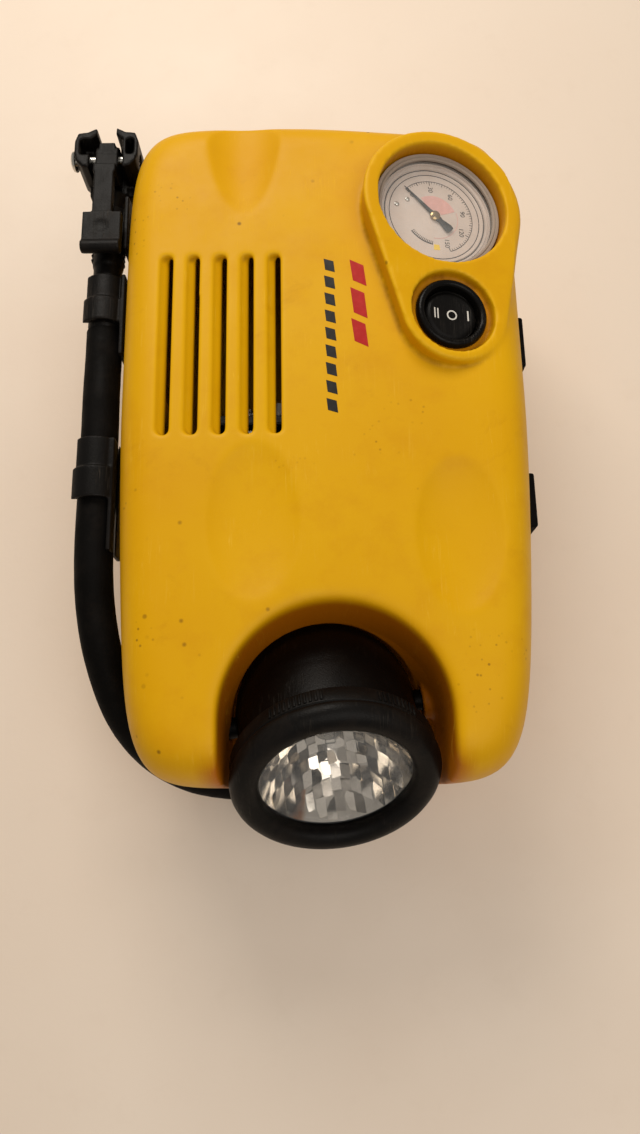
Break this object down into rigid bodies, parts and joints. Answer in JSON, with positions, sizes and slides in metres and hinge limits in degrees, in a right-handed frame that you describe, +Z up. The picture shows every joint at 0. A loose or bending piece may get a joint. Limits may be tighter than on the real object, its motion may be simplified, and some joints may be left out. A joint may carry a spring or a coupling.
{
  "type": "portable tire inflator",
  "caption": "Clamshell portable air compressor with tilting work lamp, recessed pressure gauge, rocker switch, and side-stowed hose with lever chuck.",
  "frame": {"origin": "on the surface it lies on, under the middle of the whole object's bounding box", "axes": "+X to the side with the two rubber pads, away from the hose; +Y to the rear, away from the lamp; +Z up, out of the face with the gauge"},
  "size_m": [0.158, 0.2472, 0.0982],
  "materials": {
    "yellow_shell": "golden-yellow moulded ABS, semi-gloss, with scuffs and grime",
    "black_plastic": "satin black moulded plastic",
    "black_rubber": "matt black rubber",
    "bright_metal": "plated steel",
    "motor_steel": "zinc-plated drawn steel",
    "cast_alloy": "die-cast alloy",
    "gear_plastic": "natural acetal",
    "dial_face": "printed grey-white dial",
    "needle_black": "dark enamelled pointer",
    "clear_glass": "clear moulded lens",
    "reflector": "vacuum-metallised faceted bowl"
  },
  "bodies": {
    "root": {"air_hose": "black_rubber", "case_screw_1": "bright_metal", "case_screw_2": "bright_metal", "case_screw_3": "bright_metal", "case_screw_4": "bright_metal", "case_screw_5": "bright_metal", "case_screw_6": "bright_metal", "chuck_body": "black_plastic", "chuck_holder": "black_plastic", "chuck_pin": "bright_metal", "cord_gland": "black_rubber", "cylinder": "cast_alloy", "cylinder_head": "cast_alloy", "foot_1": "black_rubber", "foot_2": "black_rubber", "foot_3": "black_rubber", "foot_4": "black_rubber", "gauge_case": "black_plastic", "gauge_dial": "dial_face", "gauge_lens": "clear_glass", "gauge_ring": "bright_metal", "gauge_tube": "black_rubber", "gear_axle": "bright_metal", "hose_clip_front": "black_plastic", "hose_clip_rear": "black_plastic", "hose_ferrule": "black_plastic", "lamp_pivot_left": "black_plastic", "lamp_pivot_right": "black_plastic", "lower_shell": "yellow_shell", "motor_can": "motor_steel", "motor_cap": "black_plastic", "outlet_elbow": "black_plastic", "outlet_tube": "black_rubber", "pump_frame": "cast_alloy", "side_pad_1": "black_rubber", "side_pad_2": "black_rubber", "switch_frame": "black_plastic", "upper_shell": "yellow_shell"},
    "lamp_head": {"lamp_housing": "black_plastic", "lamp_bezel": "black_plastic", "lamp_lens": "clear_glass", "lamp_reflector": "reflector", "lamp_bulb": "clear_glass"},
    "needle": {"gauge_needle": "needle_black"},
    "rocker": {"switch_rocker": "black_plastic"},
    "lever": {"chuck_lever": "black_plastic"},
    "gear": {"drive_gear": "gear_plastic"},
    "rotor": {"motor_shaft": "bright_metal"},
    "piston_rod": {"piston": "gear_plastic"}
  },
  "joints": [
    {"name": "lamp_tilt", "type": "hinge", "parent": "root", "child": "lamp_head", "pos_m": [0.00785, -0.08167, 0.051], "axis": [-0.9914, -0.1305, 0], "range_deg": [-30, 20]},
    {"name": "needle_sweep", "type": "hinge", "parent": "root", "child": "needle", "pos_m": [0.04696, 0.07823, 0.08433], "axis": [0.2419, 0, 0.9703], "range_deg": [-270, 0], "stiffness_Nm_per_rad": 0.00002},
    {"name": "switch_rock", "type": "hinge", "parent": "root", "child": "rocker", "pos_m": [0.04869, 0.03883, 0.08591], "axis": [0, 1, 0], "range_deg": [-10, 10]},
    {"name": "chuck_lever_lift", "type": "hinge", "parent": "root", "child": "lever", "pos_m": [-0.06565, 0.11243, 0.0715], "axis": [-1, 0, 0], "range_deg": [0, 90]},
    {"name": "drive_gear_spin", "type": "hinge", "parent": "root", "child": "gear", "pos_m": [0.01375, 0.02663, 0.034], "axis": [0, 1, 0], "continuous": true},
    {"name": "motor_spin", "type": "hinge", "parent": "root", "child": "rotor", "pos_m": [-0.01625, 0.02663, 0.034], "axis": [0, 1, 0], "continuous": true},
    {"name": "piston_stroke", "type": "slide", "parent": "root", "child": "piston_rod", "axis": [1, 0, 0], "range_m": [-0.0054, 0.0065]}
  ],
  "couplings": [
    {"joint": "motor_spin", "follows": "drive_gear_spin", "ratio": -4}
  ]
}
